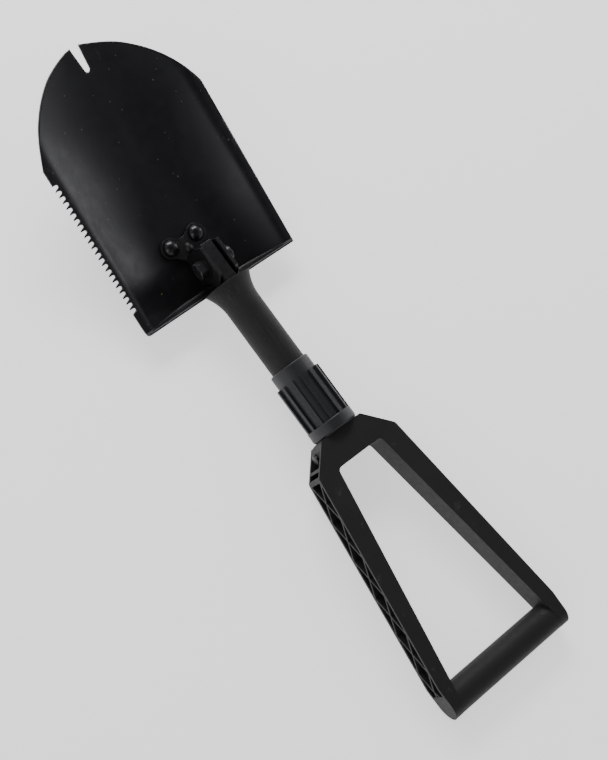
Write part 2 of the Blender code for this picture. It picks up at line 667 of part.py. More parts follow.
def make_shaft_fittings():
    """Threaded sleeve plugged into the tube's rear end, and the rod's two guides."""
    core = TUBE_R - TUBE_WALL - GAP
    bore = 0.0085
    length = 0.0240
    crest, root = TUBE_R - 0.0005, TUBE_R - 0.0014
    spigot = 0.0160
    pitch = 0.0040
    profile = [(core, length + spigot), (core, length - GAP), (crest, length - GAP)]
    for turn in range(5):
        z = length - 0.0020 - turn * pitch
        profile += [(crest, z), (root, z - 0.0010), (crest, z - 0.0020)]
    profile += [(crest, 0.0), (bore, 0.0), (bore, length + spigot)]
    turned("threaded_sleeve", profile, along_shaft(TUBE_END_Y - length), STEEL, 24, closed=True)
    for name, y in zip(("rod_guide_rear", "rod_guide_front"), GUIDE_YS):
        ring(name, core, ROD_R + GAP, 0.0080, along_shaft(y), NYLON)


# ---------------------------------------------------------------- collar
def make_collar():
    length = COLLAR_FRONT_Y - COLLAR_REAR_Y
    band = BAND_Y - COLLAR_REAR_Y
    bore = TUBE_R + 0.0004
    seat = 0.0165
    flange = 0.0035
    recess = 0.0012
    groove = length - 0.0045
    groove_r = 0.0168
    seal_wide = 0.0025
    nut_front = 0.0290
    washer_r = 0.0190
    washer_bore = 0.0100
    profile = [(COLLAR_BASE_R - 0.0010, length), (COLLAR_BASE_R, length - 0.0010),
               (COLLAR_BASE_R, band + 0.0004), (COLLAR_R - 0.0004, band), (COLLAR_R, band - 0.0006),
               (COLLAR_R, 0.0012), (COLLAR_R - 0.0010, 0.0), (washer_r, 0.0),
               (washer_r, recess), (washer_bore, recess), (washer_bore, flange), (seat, flange),
               (seat, nut_front), (bore, nut_front), (bore, groove), (groove_r, groove),
               (groove_r, groove + seal_wide), (bore, groove + seal_wide), (bore, length)]
    collar = turned("collar_grip", profile, along_shaft(COLLAR_REAR_Y), COLLAR_PLASTIC, 40, closed=True)
    ribs = []
    for i in range(RIBS):
        front = RIB_FRONT_Y
        outline = [(RIB_HALF, BAND_Y - 0.0010), *arc((0.0, front - RIB_HALF), RIB_HALF, 0, 180, 6),
                   (-RIB_HALF, BAND_Y - 0.0010)]
        low = COLLAR_BASE_R - 0.0010
        high = COLLAR_R - 0.0003
        lay = at_height(0.0) @ Matrix.Rotation(math.radians(RIB_TURN + 360 * i / RIBS), 4, "Y")
        lift = Matrix.Translation((0, 0, (low + high) / 2))
        ribs.append(plate(f"rib_{i}", [outline], high - low, lay @ lift))
    boolean(collar, merge("collar_ribs", ribs), "UNION")
    ring("collar_nut", seat - GAP, TUBE_R, 0.0220, along_shaft(COLLAR_REAR_Y + flange + 0.0030), BRASS, 32)
    seal_at = along_shaft(COLLAR_REAR_Y + groove + GAP)
    ring("collar_seal", groove_r - GAP, TUBE_R + GAP, seal_wide - 2 * GAP, seal_at, RUBBER)
    ring("thrust_washer", washer_r - GAP, washer_bore, recess - GAP, along_shaft(COLLAR_REAR_Y), STEEL, 32)


# ---------------------------------------------------------------- handle
def arm_x(y, at_kink, at_end):
    """Distance from the centre line of an arm's edge, at a place along it."""
    return at_kink + (at_end - at_kink) * (y - KINK_Y) / (OPEN_END_Y - KINK_Y)


def back_z(y):
    """Height of the handle's back face above the axis: it rises towards the grip."""
    share = max((KINK_Y - y) / (KINK_Y - GRIP_Y), 0.0)
    return FACE_BACK + (FACE_TOP - 2 * GRIP_R - FACE_BACK) * share


def handle_plan():
    """Plan of the head and the two arms. The opening between the arms runs into the grip."""
    past = -LENGTH / 2 - 0.002
    half = [(OPEN_TOP_HALF, OPEN_TOP_Y, 0.004), (arm_x(past, OPEN_TOP_HALF, OPEN_END_HALF), past, 0.0),
            (GRIP_HALF, past, 0.0), (GRIP_HALF, GRIP_Y, 0.0), (ARM_END_HALF, OPEN_END_Y, 0.0),
            (KINK_HALF, KINK_Y, 0.004), (HEAD_HALF, HEAD_Y, 0.0030)]
    return rounded(half + [(-x, y, radius) for x, y, radius in reversed(half)], 5)


def handle_side():
    """The handle from the side: flat front, back face that rises to the grip, and round end."""
    top = AXIS_Z + FACE_TOP
    ahead = HEAD_Y + 0.01
    return ([(ahead, top)] + arc((GRIP_Y, top - GRIP_R), GRIP_R, 90, 270, 20)
            + [(KINK_Y, AXIS_Z + FACE_BACK), (ahead, AXIS_Z + FACE_BACK)])


def lattice_cells(side):
    """Cutters for one arm's outer channel: the cells between its crossed ribs."""
    along = Vector((side * (ARM_END_HALF - KINK_HALF), OPEN_END_Y - KINK_Y, 0)).normalized()
    start = Vector((side * KINK_HALF, KINK_Y, 0)) + along * LATTICE_START
    out = Vector((-along.y, along.x, 0)) * -side
    if out.x * side < 0:
        out = -out
    middle_z = AXIS_Z + (FACE_TOP + FACE_BACK) / 2
    half = (FACE_TOP - FACE_BACK) / 2 - FLANGE
    pitch = LATTICE_PITCH
    depth = 0.0400
    slope = math.hypot(pitch / 2, half)
    inset_y = RIB / 2 * slope / half          # rib's half thickness measured along the arm
    inset_z = RIB / 2 * slope / (pitch / 2)   # and across it
    frame = Matrix((along, Vector((0, 0, 1)), out)).transposed().to_4x4()
    cells = []
    for i in range(CROSSINGS):
        centre = (i + 0.5) * pitch
        for up in (1, -1):
            cells.append([(centre - pitch / 2 + inset_y, up * half),
                          (centre + pitch / 2 - inset_y, up * half),
                          (centre, up * inset_z)])
    for i in range(CROSSINGS + 1):
        centre = i * pitch
        left = centre - (pitch / 2 - inset_y) if i > 0 else centre
        right = centre + (pitch / 2 - inset_y) if i < CROSSINGS else centre
        tip = half - inset_z
        cell = [(left, 0.0), (centre, -tip), (right, 0.0), (centre, tip)]
        missing = {0: 0, CROSSINGS: 2}.get(i)      # the end cells are cut short
        cells.append([corner for k, corner in enumerate(cell) if k != missing])
    cutters = []
    for k, cell in enumerate(cells):
        mean = sum(c[0] for c in cell) / len(cell)
        place_y = (start + along * mean).y
        wall = arm_x(place_y, OPEN_TOP_HALF, OPEN_END_HALF) + WEB * 1.1
        edge = (start + along * mean).x * side
        floor = -(edge - wall) * abs(out.x)
        place = Vector((start.x, start.y, middle_z)) + out * (floor + depth / 2)
        matrix = Matrix.Translation(place) @ frame
        softened = []
        for a, b in rounded([(*corner, 0.0009) for corner in cell], 2):
            raised = back_z(start.y + along.y * a) - FACE_BACK
            softened.append((a, b + raised * (half - b) / (2 * half)))
        cutters.append(plate(f"cell_{side}_{k}", [softened], depth, matrix))
    return cutters


def head_windows(side):
    """Cutters for the cells in the head's slanted side."""
    low = AXIS_Z + FACE_BACK + FLANGE
    high = AXIS_Z + FACE_TOP - FLANGE
    wall = POCKET_HALF + WEB
    mid_y = (HEAD_Y + KINK_Y) / 2 - 0.0057
    rib = RIB / 2
    first = [(side * wall, HEAD_Y - 0.0042), (side * (wall + 0.03), HEAD_Y - 0.0042),
             (side * (wall + 0.03), mid_y + rib), (side * wall, mid_y + rib)]
    second = [(side * wall, mid_y - rib), (side * (wall + 0.03), mid_y - rib),
              (side * (wall + 0.03), KINK_Y + 0.0012), (side * wall, KINK_Y + 0.0012)]
    height = Matrix.Translation((0, 0, (low + high) / 2))
    cells = (first, second)
    return [plate(f"window_{side}_{i}", [cell], high - low, height) for i, cell in enumerate(cells)]


def make_handle():
    handle = plate("handle_frame", [handle_plan()], 0.1, at_height(0.0), NYLON)
    boolean(handle, plate("handle_profile", [handle_side()], 0.2, SIDEWAYS), "INTERSECT")
    grip_z = AXIS_Z + FACE_TOP - GRIP_R
    grip_half = OPEN_END_HALF + 0.005
    grip = crosswise("grip_bar", GRIP_R - 0.0002, Vector((0, GRIP_Y, grip_z)), grip_half, 48)
    boolean(handle, grip, "UNION")
    cells = []
    for side in (-1, 1):
        cells += lattice_cells(side) + head_windows(side)
    cells = merge("handle_cells", cells)
    boolean(cells, box("solid_end", (-0.2, GRIP_Y - 0.1, -0.1), (0.2, LATTICE_END_Y, 0.2)))
    boolean(handle, cells)
    back = AXIS_Z + FACE_BACK - 0.01
    roof = AXIS_Z + POCKET_ROOF
    low, high = (-POCKET_HALF, OPEN_TOP_Y - 0.01, back), (POCKET_HALF, HEAD_Y + 0.01, roof)
    pocket = box("collar_pocket", low, high)
    hub = crosswise("hub_keep", HUB_R, PIN, 0.03, 48)
    wall = box("end_wall_keep", (-0.03, PIN_Y, PIN.z), (0.03, HEAD_Y + 0.02, roof + 0.02))
    boolean(pocket, hub)
    boolean(pocket, wall)
    boolean(handle, pocket)
    slot = box("eye_slot", (-SLOT_HALF, OPEN_TOP_Y - 0.01, back), (SLOT_HALF, HEAD_Y + 0.01, roof))
    boolean(handle, slot)
    boolean(handle, crosswise("pin_hole", PIN_R + GAP, PIN, 0.05))

    cheek = POCKET_HALF + WEB
    clip = 0.0010
    head = 0.0022
    head_r = 0.0044
    edge = 0.0005
    length = 2 * (cheek + GAP + clip + GAP + 0.0012)
    profile = [(0, length), (PIN_R - edge, length), (PIN_R, length - edge), (PIN_R, head),
               (head_r, head), (head_r, edge), (head_r - edge, 0), (0, 0)]
    turned("handle_pin", profile, Matrix.Translation((-cheek - GAP - head, PIN.y, PIN.z)) @ TO_X, STEEL, 32)
    clip_place = Matrix.Translation((cheek + GAP, PIN.y, PIN.z)) @ TO_X
    ring("pin_clip", head_r, PIN_R + GAP, clip, clip_place, STEEL)


make_blade()
make_bracket()
make_backing_plate()
make_rivets()
make_pivot()
make_link()
make_tube()
make_shaft_fittings()
make_collar()
make_handle()
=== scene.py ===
"""Folding camp shovel: the looks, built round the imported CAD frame.

Axes as in the frame, in metres: +Y to the blade's tip, +X across, +Z up out of the dish.
The blade, the tube and the thrust washer are remade finer here. The other nodes stay, with
their edges rounded and better materials.
"""
import json
import math

import bmesh
import bpy
import numpy as np
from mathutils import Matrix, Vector

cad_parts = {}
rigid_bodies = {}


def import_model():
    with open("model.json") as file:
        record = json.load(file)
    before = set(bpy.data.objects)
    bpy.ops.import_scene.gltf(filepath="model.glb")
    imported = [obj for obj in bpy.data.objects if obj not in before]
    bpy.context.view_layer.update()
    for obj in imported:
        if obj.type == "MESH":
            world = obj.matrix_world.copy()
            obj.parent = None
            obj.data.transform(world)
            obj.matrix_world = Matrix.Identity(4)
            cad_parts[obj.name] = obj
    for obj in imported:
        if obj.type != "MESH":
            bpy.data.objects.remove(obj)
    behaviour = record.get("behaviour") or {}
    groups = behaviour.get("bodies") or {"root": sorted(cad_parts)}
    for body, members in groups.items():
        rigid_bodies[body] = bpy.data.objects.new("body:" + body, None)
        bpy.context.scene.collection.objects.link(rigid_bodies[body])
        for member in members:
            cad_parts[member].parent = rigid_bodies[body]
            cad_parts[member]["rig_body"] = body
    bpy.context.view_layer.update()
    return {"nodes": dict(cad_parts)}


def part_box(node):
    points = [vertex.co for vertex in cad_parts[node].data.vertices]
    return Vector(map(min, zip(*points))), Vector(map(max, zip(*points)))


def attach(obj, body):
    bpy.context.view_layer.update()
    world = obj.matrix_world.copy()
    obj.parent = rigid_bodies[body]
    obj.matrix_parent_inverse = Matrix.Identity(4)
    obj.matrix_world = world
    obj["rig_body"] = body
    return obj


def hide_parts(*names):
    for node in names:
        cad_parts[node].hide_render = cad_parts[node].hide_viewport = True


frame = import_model()
NODES = frame["nodes"]

# ---------------------------------------------------------------- places, from the frame
BLADE_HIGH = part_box("blade")[1]
TUBE_LOW, TUBE_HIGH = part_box("shaft_tube")
WASHER_LOW, WASHER_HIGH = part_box("thrust_washer")
COLLAR_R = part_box("collar_grip")[1].x
HEAD_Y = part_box("handle_frame")[1].y
ROD_LOW, ROD_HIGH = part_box("tension_rod")
AXIS_Z = (ROD_LOW.z + ROD_HIGH.z) / 2

# blade: the same surface as the CAD sheet, on a finer mesh
TIP_Y = BLADE_HIGH.y
HEEL_Y = TIP_Y - 0.2173   # distances v along the blade start here, just inside the heel
SHOULDER_Y = HEEL_Y + 0.1460
HALF_WIDTH = BLADE_HIGH.x  # at the shoulders
HEEL_HALF = 0.0763        # at the heel
SHEET = 0.0020
MARGIN_HEEL = -0.0148     # side margins: height at the heel, relative to the axis
MARGIN_RISE = 0.265       # side margins: rise per length
FLAT_HALF = 0.020         # flat bottom of the dish under the bracket
FLAT_NOSE = 0.006         # flat bottom further on
FLAT_END_V = 0.115
WALL_HALF = 0.0695        # where the dish's wall meets the margin
NOSE_V = 0.150            # from here on the wall closes in, along the nose
NOSE_CLOSE = 7.0          # half width lost there, per squared length
BEND = 0.06               # half length of the bend there, as a share of the wall
DISH = 0.02184            # deepest part of the dish below the margins
DISH_V = 0.0966           # distance of the deepest part from the heel
DISH_STRAIGHT = 0.062     # nearer the heel than this, the bottom is straight
DISH_TIP = 0.0085         # depth at the tip
LIP_UP = 0.0040           # the heel's lip stands this far above the margins
LIP_LEAN = 0.34           # how far the lip's foot lies ahead of its top, per rise
LIP_ROUND = 0.8           # below 1, the lip's crease is rounder than an ellipse
LIP_OVER = 1.02           # sheet thicknesses from the heel's outer face to the lip's inside
HEEL_BACK = (0.0010, 0.0005)     # how far the heel's outer face lies behind HEEL_Y, and more at the corners
CORNER_X = 0.0720         # the heel's corners start here
CORNER_RISE = (0.0040, 0.0075)   # and rise this far, right and left
NOSE_SIDE = (0.0539, 0.0308)     # points of the nose: x, and distance from the tip
NOSE_KNEE = (0.0336, 0.0128)
NOSE_TOP = (0.0182, 0.0048)
NOSE_LEFT_IN = 0.0013     # the nose's left side is this much flatter
NOTCH_DEPTH = 0.0205
NOTCH_MOUTH = 0.0043      # half width at the edge
NOTCH_END = 0.0026        # radius of the closed end
NOTCH_SHIFT = (0.0004, 0.0018)   # the mouth and the closed end lie this far off the centre line
TEETH = 23
TEETH_START = HEEL_Y + 0.1333
TOOTH_PITCH = 0.00496
GULLET = ((0.0, 0.0), (0.0018, 0.0001), (0.0033, -0.0001), (0.0040, -0.0006), (0.0042, -0.0013),
          (0.0039, -0.0024), (0.0024, -0.0030), (0.0011, -0.0035), (0.0, -0.0042))   # inwards, along
RIM_INSETS = (0.00012, 0.00022)  # rounded rim: steps inwards from the edge
RIM_DEPTHS = (0.00048, 0.00014, 0.0)     # how deep the edge and the ring after each step lie
RIM_WEAR_AND_HIGHLIGHT = (1.0, 0.8, 0.0)       # how much rubbed coat and painted edge highlight lies there

# blade mesh: first line of the grid and spacing, across and along
ACROSS = (0.0013, 0.0016)
LIP_ALONG = (0.0007, 0.0009)
DISH_ALONG = (0.0107, 0.0022)
LIP_REACH = 0.010         # the finer lines along the lip end this far from the heel
WITHIN = 0.00002          # a cut this close to a point goes through it
PROBE = 0.0002            # step for the sheet's slopes

# shaft tube
MOUTH_Y = TUBE_HIGH.y
MOUTH_HALF = TUBE_HIGH.x
MOUTH_HIGH = TUBE_HIGH.z - AXIS_Z
TUBE_R = 0.01525
TUBE_WALL = 0.0015
FLARE = 0.0220
RIM_R = 0.0006
ROUND = 96                # sides of the tube's and the washer's circles

# thrust washer
WASHER_BORE = 0.0100
SHADE_FLANGE_IN = 0.0011        # its dark flange, painted shade in the slit, stays this far inside the collar's band
SLACK = 0.00005           # and this far from the collar and the handle

# camera and surroundings
CAMERA_PLACE = (-0.3972, -0.0506, AXIS_Z + 1.0211)
CAMERA_TURN = (14.43998, -16.11301, -38.05036)    # degrees
CAMERA_LENS = 64.551      # mm
CAMERA_SENSOR = 36.0      # mm
FLOOR_HALF = 12.0
FLOOR_GAP = 0.0001
FLOOR_GLOW = 0.95
HORIZON = 1.12            # brightness of the surroundings at eye level
ZENITH = 0.03             # and overhead
SKY_TINT = (0.94, 0.96, 1.0, 1.0)

MM = 0.001


# ---------------------------------------------------------------- material building
class Shader:
    """A Principled material and short ways to add nodes to it. Lengths are given in millimetres."""

    def __init__(self, name, roughness, metallic=0.0, specular=0.5):
        self.material = bpy.data.materials.new(name)
        self.material.use_nodes = True
        self.tree = self.material.node_tree
        self.main = self.tree.nodes["Principled BSDF"]
        self.main.inputs["Roughness"].default_value = roughness
        self.main.inputs["Metallic"].default_value = metallic
        self.main.inputs["Specular IOR Level"].default_value = specular
        self.place = self.add("ShaderNodeTexCoord").outputs["Object"]

    def add(self, kind, **settings):
        node = self.tree.nodes.new(kind)
        for key, value in settings.items():
            setattr(node, key, value)
        return node

    def link(self, source, target):
        self.tree.links.new(source, target)

    def coordinates(self, stretch=(1, 1, 1)):
        """Object coordinates in millimetres, squeezed along the axes with a stretch above 1."""
        mapping = self.add("ShaderNodeMapping")
        mapping.inputs["Scale"].default_value = [1 / (MM * s) for s in stretch]
        self.link(self.place, mapping.inputs["Vector"])
        return mapping.outputs["Vector"]

    def noise(self, size, detail=3.0, roughness=0.55, stretch=(1, 1, 1)):
        """Noise whose blotches are about size millimetres across, from 0 to 1."""
        node = self.add("ShaderNodeTexNoise")
        node.inputs["Scale"].default_value = 1 / size
        node.inputs["Detail"].default_value = detail
        node.inputs["Roughness"].default_value = roughness
        self.link(self.coordinates(stretch), node.inputs["Vector"])
        return node.outputs["Fac"]

    def remap(self, value, low, high, to_low=0.0, to_high=1.0, smooth=False):
        node = self.add("ShaderNodeMapRange")
        node.interpolation_type = "SMOOTHSTEP" if smooth else "LINEAR"
        limits = {"From Min": low, "From Max": high, "To Min": to_low, "To Max": to_high}
        for key, number in limits.items():
            node.inputs[key].default_value = number
        self.link(value, node.inputs["Value"])
        return node.outputs["Result"]

    def math(self, operation, a, b):
        node = self.add("ShaderNodeMath", operation=operation)
        for socket, value in zip(node.inputs, (a, b)):
            if isinstance(value, (int, float)):
                socket.default_value = value
            else:
                self.link(value, socket)
        return node.outputs["Value"]

    def mix(self, share, a, b):
        """Colour a at share 0, colour b at share 1. A colour is a triple or a socket."""
        node = self.add("ShaderNodeMix", data_type="RGBA")
        self.link(share, node.inputs["Factor"])
        for socket, value in ((node.inputs[6], a), (node.inputs[7], b)):
            if isinstance(value, tuple):
                socket.default_value = (*value, 1.0)
            else:
                self.link(value, socket)
        return node.outputs[2]

    def bump(self, height, distance, before=None):
        """Bump of the given height in millimetres."""
        node = self.add("ShaderNodeBump")
        node.inputs["Strength"].default_value = 1.0
        node.inputs["Distance"].default_value = distance * MM
        self.link(height, node.inputs["Height"])
        if before:
            self.link(before, node.inputs["Normal"])
        return node.outputs["Normal"]

    def scratches(self, size, length, turn, amount):
        """Sparse thin lines, as a mask: noise drawn out along one direction and cut at its ridge."""
        mapping = self.add("ShaderNodeMapping")
        mapping.inputs["Rotation"].default_value = (0, 0, math.radians(turn))
        mapping.inputs["Scale"].default_value = (1 / (MM * size), 1 / (MM * length), 1 / (MM * length))
        self.link(self.place, mapping.inputs["Vector"])
        node = self.add("ShaderNodeTexNoise")
        node.inputs["Scale"].default_value = 1.0
        node.inputs["Detail"].default_value = 2.0
        self.link(mapping.outputs["Vector"], node.inputs["Vector"])
        off_ridge = self.math("ABSOLUTE", self.math("SUBTRACT", node.outputs["Fac"], 0.5), 0.0)
        line = self.remap(off_ridge, 0.0, 0.006, 1.0, 0.0)
        patch = self.remap(self.noise(length * 1.7, 1.0), 0.66 - amount, 0.70, 0.0, 1.0, True)
        return self.math("MULTIPLY", line, patch)

    def specks(self, spacing, radius, share):
        """Small round spots, as a mask: a share of the cells of a Voronoi pattern get one."""
        cells = self.add("ShaderNodeTexVoronoi")
        cells.inputs["Scale"].default_value = 1 / spacing
        self.link(self.coordinates(), cells.inputs["Vector"])
        spot = self.remap(cells.outputs["Distance"], radius / spacing * 0.6, radius / spacing, 1.0, 0.0)
        pick = self.add("ShaderNodeSeparateColor")
        self.link(cells.outputs["Color"], pick.inputs["Color"])
        return self.math("MULTIPLY", spot, self.math("LESS_THAN", pick.outputs["Red"], share))

    def finish(self, color, roughness=None, normal=None):
        if isinstance(color, tuple):
            self.main.inputs["Base Color"].default_value = (*color, 1.0)
        else:
            self.link(color, self.main.inputs["Base Color"])
        if roughness is not None:
            self.link(roughness, self.main.inputs["Roughness"])
        if normal is not None:
            self.link(normal, self.main.inputs["Normal"])
        return self.material


def powder_coat():
    """The blade's satin black coat: faint orange peel, dust, hair scratches, and a rim that is paler as
    rubbed coat and as a painted edge highlight.
    """
    s = Shader("powder_coat", 0.36)
    cloud = s.noise(46.0, 3.0)
    color = s.mix(cloud, (0.0042, 0.0042, 0.0050), (0.0062, 0.0062, 0.0074))
    color = s.mix(s.remap(s.noise(1.6, 4.0), 0.60, 0.78, 0.0, 0.35), color, (0.020, 0.020, 0.022))
    marks = s.math("MAXIMUM", s.scratches(2.6, 36.0, 24, 0.03), s.scratches(3.2, 48.0, -61, 0.02))
    color = s.mix(s.math("MULTIPLY", marks, 0.7), color, (0.110, 0.110, 0.114))
    dust = s.math("MAXIMUM", s.specks(5.5, 0.50, 0.30), s.specks(11.0, 0.70, 0.24))
    color = s.mix(s.math("MULTIPLY", dust, 0.80), color, (0.170, 0.170, 0.176))
    grit = s.specks(23.0, 0.85, 0.16)
    color = s.mix(s.math("MULTIPLY", grit, 0.9), color, (0.62, 0.44, 0.14))
    # painted highlight: the rim is paler all round, partly rubbed coat and partly a painted edge highlight
    rim = s.add("ShaderNodeAttribute", attribute_name="rim").outputs["Fac"]
    rubbed_and_highlight = s.math("MULTIPLY", rim, s.remap(s.noise(5.0, 5.0, 0.7), 0.52, 0.70))
    color = s.mix(rubbed_and_highlight, color, (0.085, 0.082, 0.078))
    rough = s.remap(s.noise(9.0, 4.0), 0.3, 0.7, 0.31, 0.41)
    rough = s.math("ADD", rough, s.math("MULTIPLY", marks, 0.15))
    peel = s.bump(s.noise(1.9, 2.0), 0.012)
    return s.finish(color, rough, s.bump(s.noise(0.35, 2.0), 0.004, peel))


def black_paint(name="blackened_steel", low=0.30, high=0.46, tone=0.009):
    """Painted and blackened small steel parts, a little uneven, rubbed paler here and there."""
    s = Shader(name, 0.38)
    dark = (tone * 0.7, tone * 0.7, tone * 0.75)
    light = (tone * 1.4, tone * 1.4, tone * 1.5)
    color = s.mix(s.noise(7.0, 4.0), dark, light)
    worn = s.remap(s.noise(2.2, 5.0, 0.7), 0.60, 0.74, 0.0, 0.6)
    color = s.mix(worn, color, (0.035, 0.035, 0.037))
    rough = s.remap(s.noise(3.5, 4.0), 0.3, 0.7, low, high)
    return s.finish(color, rough, s.bump(s.noise(0.9, 3.0), 0.018))


def anodised_tube():
    """Satin black tube: faint draw lines along it and a few rub marks."""
    s = Shader("anodised_tube", 0.50, specular=0.14)
    lines = s.noise(0.9, 3.0, 0.6, (1, 60, 1))
    color = s.mix(s.noise(14.0, 4.0), (0.0195, 0.0190, 0.0190), (0.0265, 0.0260, 0.0260))
    color = s.mix(s.remap(lines, 0.55, 0.8, 0.0, 0.35), color, (0.070, 0.070, 0.072))
    dark = s.remap(s.noise(5.0, 5.0, 0.7, (1, 3, 1)), 0.58, 0.72, 0.0, 0.5)
    color = s.mix(dark, color, (0.0115, 0.0115, 0.0120))
    marks = s.math("MAXIMUM", s.scratches(1.4, 30.0, 3, 0.05), s.specks(8.0, 0.35, 0.12))
    color = s.mix(s.math("MULTIPLY", marks, 0.4), color, (0.13, 0.13, 0.13))
    rough = s.remap(lines, 0.3, 0.7, 0.44, 0.56)
    fine = s.bump(lines, 0.006)
    return s.finish(color, rough, s.bump(s.noise(0.45, 2.0), 0.007, fine))


def moulded(name, dark, light, grain, depth, roughness, specular=0.5):
    """Moulded plastic: fine spark-eroded grain, a slow tone change, dust and a few scuffs."""
    s = Shader(name, sum(roughness) / 2, specular=specular)
    color = s.mix(s.noise(24.0, 3.0), dark, light)
    dust = s.remap(s.noise(grain * 1.6, 5.0, 0.75), 0.62, 0.80, 0.0, 0.35)
    color = s.mix(dust, color, tuple(2.2 * c for c in light))
    patch = s.remap(s.noise(11.0, 2.0), 0.66, 0.74)
    fleck = s.remap(s.noise(1.5, 4.0, 0.7), 0.45, 0.65)
    scuff = s.math("MULTIPLY", patch, fleck)
    color = s.mix(s.math("MULTIPLY", scuff, 0.7), color, tuple(2.8 * c for c in light))
    rough = s.remap(s.noise(grain * 5, 4.0), 0.3, 0.7, *roughness)
    cells = s.add("ShaderNodeTexVoronoi", feature="SMOOTH_F1")
    cells.inputs["Scale"].default_value = 1 / grain
    s.link(s.coordinates(), cells.inputs["Vector"])
    coarse = s.bump(s.noise(grain * 3, 3.0), depth * 0.7)
    return s.finish(color, rough, s.bump(cells.outputs["Distance"], depth, coarse))


def bright_metal(name, color, roughness):
    """Bare turned metal: fine circumferential tool marks and a little tarnish."""
    s = Shader(name, roughness, metallic=1.0)
    tarnish = s.remap(s.noise(6.0, 4.0), 0.35, 0.75)
    shade = s.mix(tarnish, color, tuple(0.7 * c for c in color))
    rough = s.remap(s.noise(1.2, 4.0), 0.3, 0.7, roughness * 0.8, roughness * 1.25)
    return s.finish(shade, rough, s.bump(s.noise(0.25, 2.0, stretch=(1, 8, 1)), 0.006))


COAT = powder_coat()
BLACKED = black_paint()
DOMES = black_paint("rivet_paint", low=0.17, high=0.25, tone=0.008)
TUBE = anodised_tube()
COLLAR = moulded("collar_plastic", dark=(0.0128, 0.0140, 0.0160), light=(0.0172, 0.0188, 0.0214),
                 grain=0.55, depth=0.020, roughness=(0.44, 0.56))
NYLON = moulded("black_nylon", dark=(0.0180, 0.0176, 0.0173), light=(0.0250, 0.0245, 0.0240),
                grain=0.70, depth=0.035, roughness=(0.50, 0.62), specular=0.18)
GUIDE = moulded("pale_nylon", dark=(0.30, 0.29, 0.26), light=(0.36, 0.35, 0.31),
                grain=0.9, depth=0.02, roughness=(0.40, 0.55))
RUBBER = moulded("seal_rubber", dark=(0.010, 0.010, 0.010), light=(0.014, 0.014, 0.014),
                 grain=0.4, depth=0.02, roughness=(0.65, 0.80))
STEEL = bright_metal("plain_steel", (0.42, 0.42, 0.43), 0.34)
BRASS = bright_metal("brass", (0.58, 0.40, 0.15), 0.30)
DULL = bright_metal("dull_steel", (0.060, 0.060, 0.063), 0.42)


# ---------------------------------------------------------------- pieces
def piece(name, bm, node, mat):
    """A finished piece that stands for one CAD node and rides on its body."""
    mesh = bpy.data.meshes.new(name)
    for face in bm.faces:
        face.smooth = True
    bm.to_mesh(mesh)
    bm.free()
    mesh.materials.append(mat)
    obj = bpy.data.objects.new(name, mesh)
    bpy.context.scene.collection.objects.link(obj)
    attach(obj, NODES[node]["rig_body"])
    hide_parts(node)
    return obj


def keep(node, mat, width=0.0004, segments=2, angle=32):
    """A CAD node that stays, its flat faces joined, its edges rounded, in a better material."""
    obj = NODES[node]
    obj.data.materials.clear()
    obj.data.materials.append(mat)
    for polygon in obj.data.polygons:
        polygon.use_smooth = True
        polygon.material_index = 0
    weld = obj.modifiers.new("weld", "WELD")
    weld.merge_threshold = 0.00001
    flat = obj.modifiers.new("flat", "DECIMATE")
    flat.decimate_type = "DISSOLVE"
    flat.angle_limit = math.radians(0.6)
    if width:
        edge = obj.modifiers.new("edge", "BEVEL")
        edge.width = width
        edge.segments = segments
        edge.limit_method = "ANGLE"
        edge.angle_limit = math.radians(angle)
        edge.harden_normals = False
        edge.use_clamp_overlap = True
    shade = obj.modifiers.new("shade", "WEIGHTED_NORMAL")
    shade.keep_sharp = False
    shade.weight = 80
    return obj


def loop_of_rings(sections):
    """A closed body round the shaft's axis, from rings given as (y, half width, half height)."""
    angles = [2 * math.pi * k / ROUND for k in range(ROUND)]
    bm = bmesh.new()
    rings = []
    for y, half, high in sections:
        points = [(half * math.cos(a), y, AXIS_Z + high * math.sin(a)) for a in angles]
        rings.append([bm.verts.new(point) for point in points])
    for i, here in enumerate(rings):
        after = rings[(i + 1) % len(rings)]
        for k in range(ROUND):
            bm.faces.new((here[k], here[(k + 1) % ROUND], after[(k + 1) % ROUND], after[k]))
    bmesh.ops.recalc_face_normals(bm, faces=bm.faces)
    return bm


def arc(centre, radius, start, end, steps):
    """Points of an arc, angles in degrees."""
    angles = [math.radians(start + (end - start) * i / steps) for i in range(steps + 1)]
    return [(centre[0] + radius * math.cos(a), centre[1] + radius * math.sin(a)) for a in angles]


def arc_through(a, b, c, steps):
    """Points of the circular arc from a through b to c."""
    ax, ay, bx, by, cx, cy = *a, *b, *c
    d = 2 * (ax * (by - cy) + bx * (cy - ay) + cx * (ay - by))
    sq = [x * x + y * y for x, y in (a, b, c)]
    middle_x = (sq[0] * (by - cy) + sq[1] * (cy - ay) + sq[2] * (ay - by)) / d
    middle_y = (sq[0] * (cx - bx) + sq[1] * (ax - cx) + sq[2] * (bx - ax)) / d
    middle = (middle_x, middle_y)
    start = math.degrees(math.atan2(ay - middle_y, ax - middle_x))
    end = math.degrees(math.atan2(cy - middle_y, cx - middle_x))
    return arc(middle, math.dist(middle, a), start, end, steps)


# ---------------------------------------------------------------- blade
DISH_BEND = (DISH - DISH_TIP) / (TIP_Y - HEEL_Y - DISH_V) ** 2


def dish_depth(v):
    """Depth of the dish's bottom below the margins, at a distance v from the heel."""
    start = max(v, DISH_STRAIGHT)
    depth = DISH - DISH_BEND * (start - DISH_V) ** 2
    return depth - 2 * DISH_BEND * (DISH_V - DISH_STRAIGHT) * (start - v)


